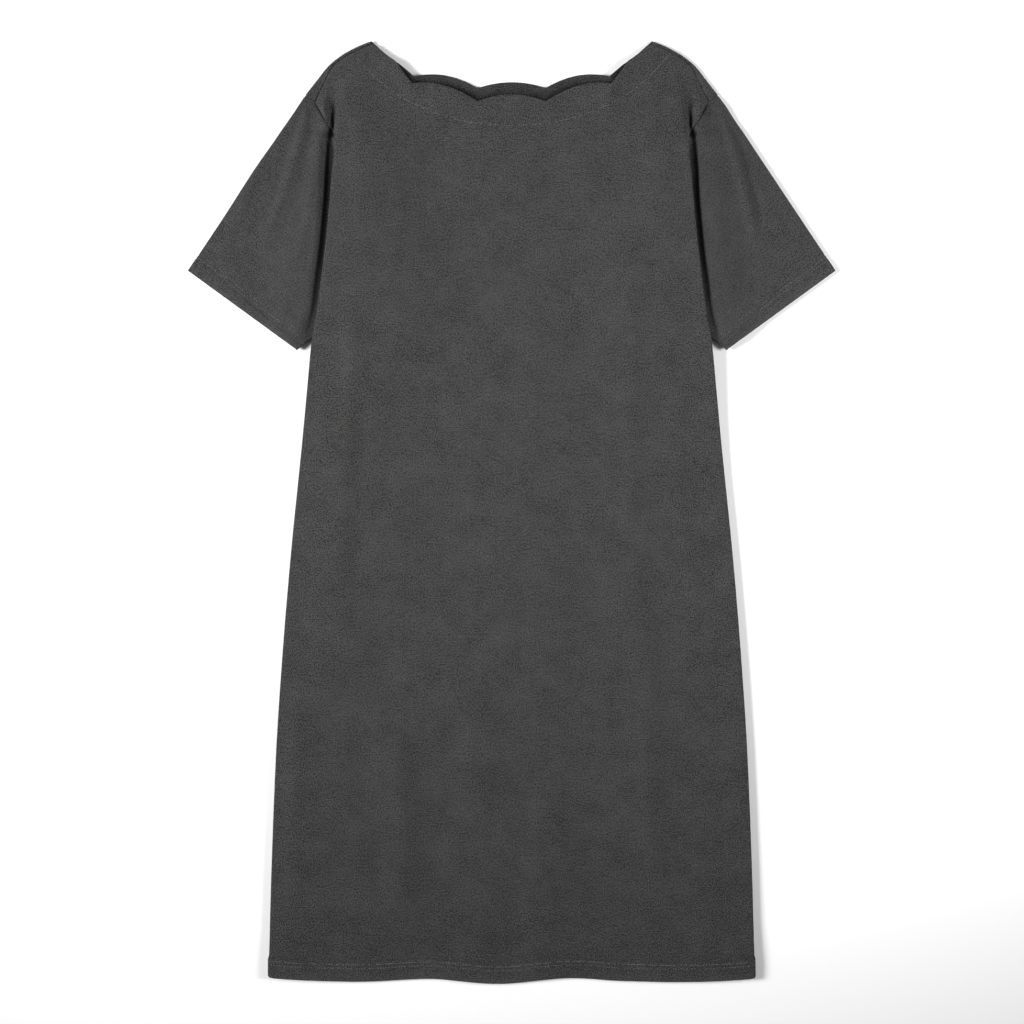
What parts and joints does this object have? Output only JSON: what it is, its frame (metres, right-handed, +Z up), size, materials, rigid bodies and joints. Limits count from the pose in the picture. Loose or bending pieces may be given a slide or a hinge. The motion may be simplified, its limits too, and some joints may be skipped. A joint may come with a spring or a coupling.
{
  "type": "short-sleeved jersey dress laid flat",
  "caption": "Knee-length T-shirt dress in jersey, laid flat on its back, with a wide scalloped boat neck, short set-in sleeves and a straight body.",
  "frame": {"origin": "centre of the dress's outline, on the surface it lies on", "axes": "+X towards the wearer's left sleeve, +Y from hem to neck, +Z up from the surface, out of the front"},
  "size_m": [0.6552, 0.955, 0.0102],
  "materials": {
    "charcoal_jersey": "dry, matt cotton jersey, garment-dyed charcoal with a soft marl",
    "facing_jersey": "the same jersey seen from its wrong side, inside the neck"
  },
  "bodies": {
    "root": {"front": "charcoal_jersey", "back": "charcoal_jersey", "sleeve_left": "charcoal_jersey", "sleeve_right": "charcoal_jersey", "back_neck_facing": "facing_jersey"}
  },
  "joints": []
}
